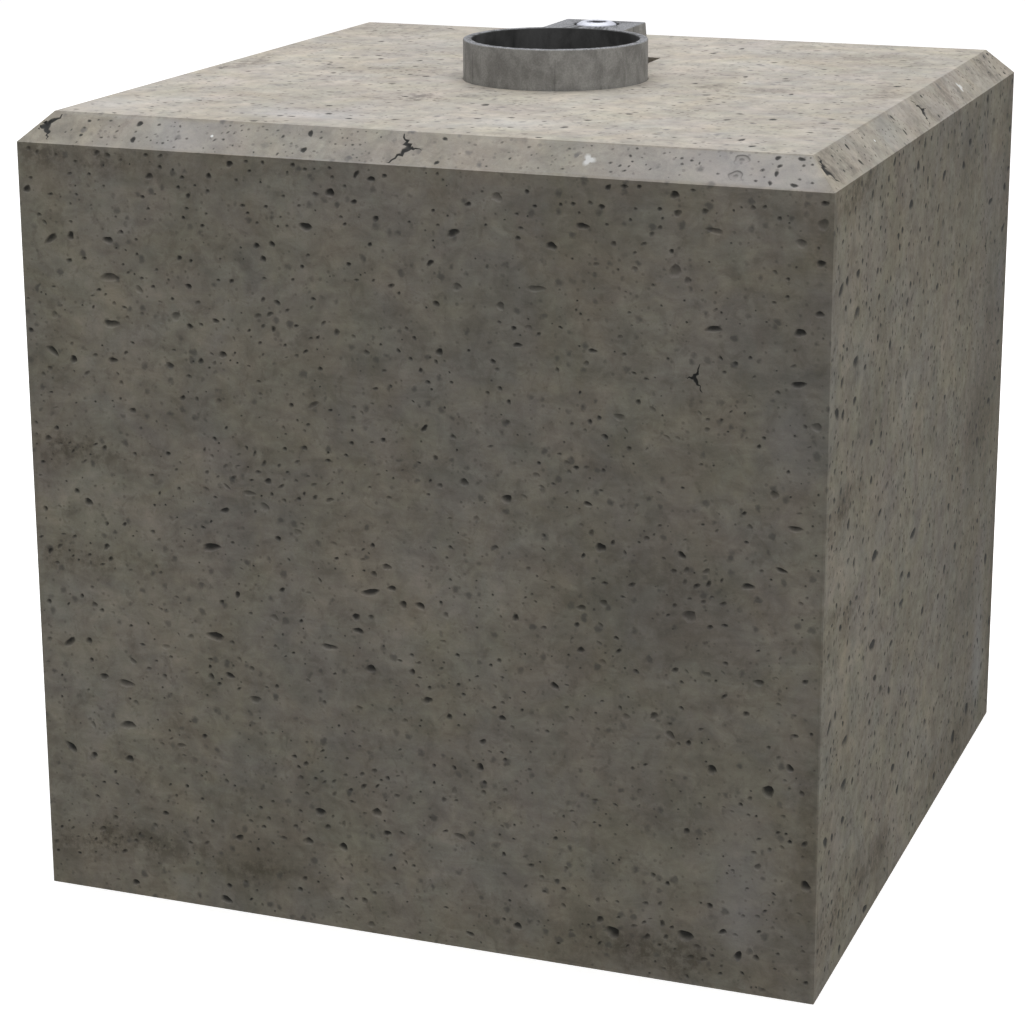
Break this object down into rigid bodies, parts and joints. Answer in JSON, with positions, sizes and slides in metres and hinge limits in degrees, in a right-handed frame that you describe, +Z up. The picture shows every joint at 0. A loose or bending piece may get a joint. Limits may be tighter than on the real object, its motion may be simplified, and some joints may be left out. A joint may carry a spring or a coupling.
{
  "type": "precast sign post foundation",
  "caption": "Square precast concrete block with chamfered top edges and a cast-in steel sleeve, whose lug carries a hexagon socket screw that locks a round sign post.",
  "frame": {"origin": "centre of the block's underside, on the surface that it stands on", "axes": "+Z up along the sleeve, +Y from the sleeve towards its lug, +X across the lug"},
  "size_m": [0.3, 0.3, 0.3124],
  "materials": {
    "concrete": "matte",
    "galvanised_steel": "matte",
    "bright_zinc": "satin"
  },
  "bodies": {
    "root": {"concrete_block": "concrete", "post_sleeve": "galvanised_steel", "clamp_screw": "bright_zinc"}
  },
  "joints": []
}
